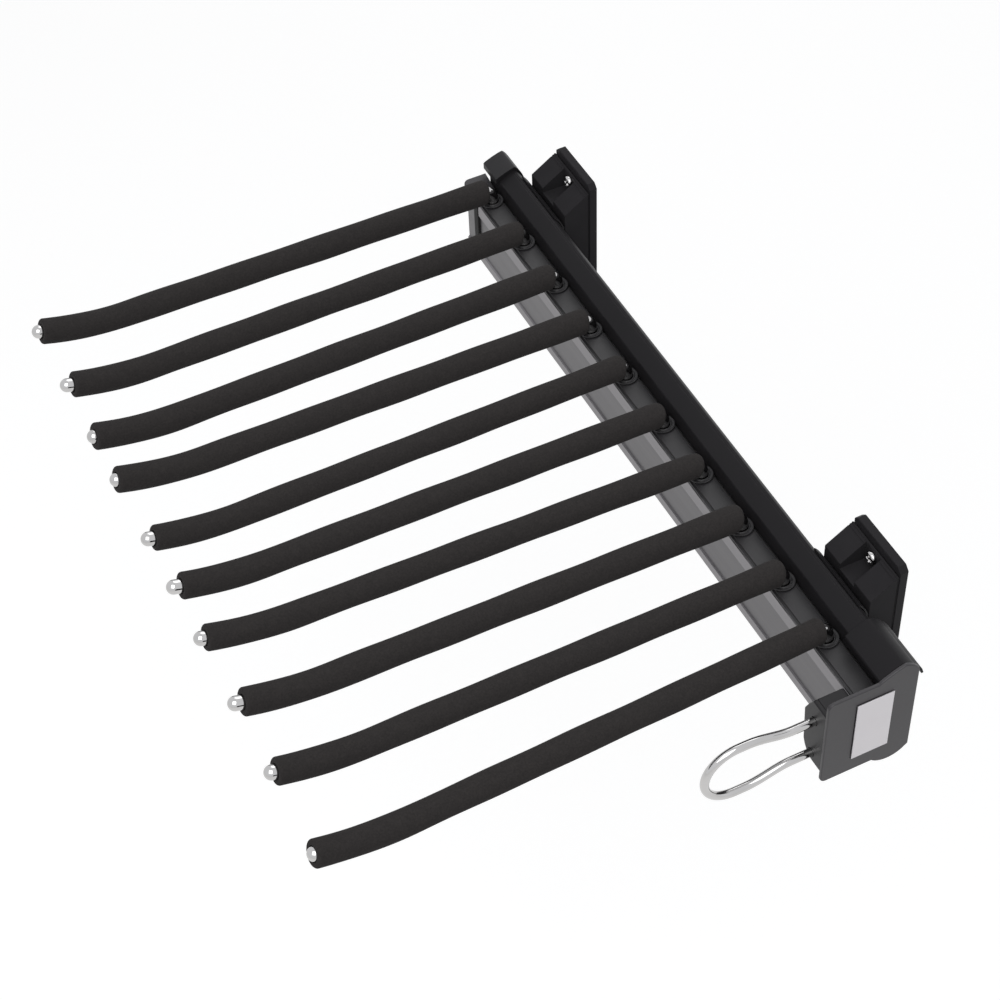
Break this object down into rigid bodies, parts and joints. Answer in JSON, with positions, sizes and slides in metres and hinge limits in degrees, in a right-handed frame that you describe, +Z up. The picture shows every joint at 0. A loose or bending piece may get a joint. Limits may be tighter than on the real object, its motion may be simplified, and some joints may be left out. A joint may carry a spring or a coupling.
{
  "type": "pull-out trouser rack",
  "caption": "Side-mounted pull-out trouser rack: foam-covered arms on a sliding carriage, a ball slide in an arched rail housing, a loop handle and two wall brackets.",
  "frame": {"origin": "centre of the back face of the front wall plate, on the wardrobe's side wall", "axes": "+X into the wall, +Y towards the wardrobe's back, +Z up; the rack pulls out along -Y and its arms point along -X"},
  "size_m": [0.341, 0.455, 0.0894],
  "materials": {
    "black_plastic": "fine-textured satin black moulding",
    "black_paint": "satin black powder coat",
    "grey_paint": "satin dark grey powder coat",
    "aluminium": "satin anodised, fine lines along its length",
    "zinc_steel": "bright zinc-plated rolled steel",
    "chrome": "mirror chrome plate",
    "foam": "matte closed-cell foam rubber",
    "rubber": "matte black rubber",
    "label_metal": "plain satin silver plate, bare"
  },
  "bodies": {
    "frame": {"wall_plate_front": "black_paint", "bracket_block_front": "black_plastic", "rail_clamp_front": "black_paint", "wall_screw_front_upper": "chrome", "wall_screw_front_lower": "chrome", "slide_screw_front": "zinc_steel", "wall_plate_rear": "black_paint", "bracket_block_rear": "black_plastic", "rail_clamp_rear": "black_paint", "wall_screw_rear_upper": "chrome", "wall_screw_rear_lower": "chrome", "slide_screw_rear": "zinc_steel", "rail_housing": "black_paint", "rail_rear_cap": "grey_paint", "slide_outer": "zinc_steel"},
    "carriage": {"carriage_beam": "aluminium", "beam_end_piece": "aluminium", "rear_bumper": "rubber", "carriage_rear_cap": "grey_paint", "arm_strip": "black_plastic", "arm_stud_bar": "zinc_steel", "slide_inner": "zinc_steel", "front_plate": "grey_paint", "front_hood": "black_paint", "label_plate": "label_metal", "handle_block": "grey_paint", "loop_handle": "chrome", "arm_rod_01": "chrome", "arm_sleeve_01": "foam", "arm_collar_01": "black_plastic", "arm_rod_02": "chrome", "arm_sleeve_02": "foam", "arm_collar_02": "black_plastic", "arm_rod_03": "chrome", "arm_sleeve_03": "foam", "arm_collar_03": "black_plastic", "arm_rod_04": "chrome", "arm_sleeve_04": "foam", "arm_collar_04": "black_plastic", "arm_rod_05": "chrome", "arm_sleeve_05": "foam", "arm_collar_05": "black_plastic", "arm_rod_06": "chrome", "arm_sleeve_06": "foam", "arm_collar_06": "black_plastic", "arm_rod_07": "chrome", "arm_sleeve_07": "foam", "arm_collar_07": "black_plastic", "arm_rod_08": "chrome", "arm_sleeve_08": "foam", "arm_collar_08": "black_plastic", "arm_rod_09": "chrome", "arm_sleeve_09": "foam", "arm_collar_09": "black_plastic", "arm_rod_10": "chrome", "arm_sleeve_10": "foam", "arm_collar_10": "black_plastic"},
    "middle_member": {"slide_middle": "zinc_steel"},
    "outer_cage": {"outer_ball_cage": "zinc_steel"},
    "inner_cage": {"inner_ball_cage": "zinc_steel"}
  },
  "joints": [
    {"name": "carriage_slide", "type": "slide", "parent": "frame", "child": "carriage", "axis": [0, -1, 0], "range_m": [0, 0.4]},
    {"name": "middle_member_slide", "type": "slide", "parent": "frame", "child": "middle_member", "axis": [0, -1, 0], "range_m": [0, 0.2]},
    {"name": "outer_cage_slide", "type": "slide", "parent": "frame", "child": "outer_cage", "axis": [0, -1, 0], "range_m": [0, 0.1]},
    {"name": "inner_cage_slide", "type": "slide", "parent": "frame", "child": "inner_cage", "axis": [0, -1, 0], "range_m": [0, 0.301]}
  ],
  "couplings": [
    {"joint": "middle_member_slide", "follows": "carriage_slide", "ratio": 0.5},
    {"joint": "outer_cage_slide", "follows": "carriage_slide", "ratio": 0.25},
    {"joint": "inner_cage_slide", "follows": "carriage_slide", "ratio": 0.75}
  ]
}
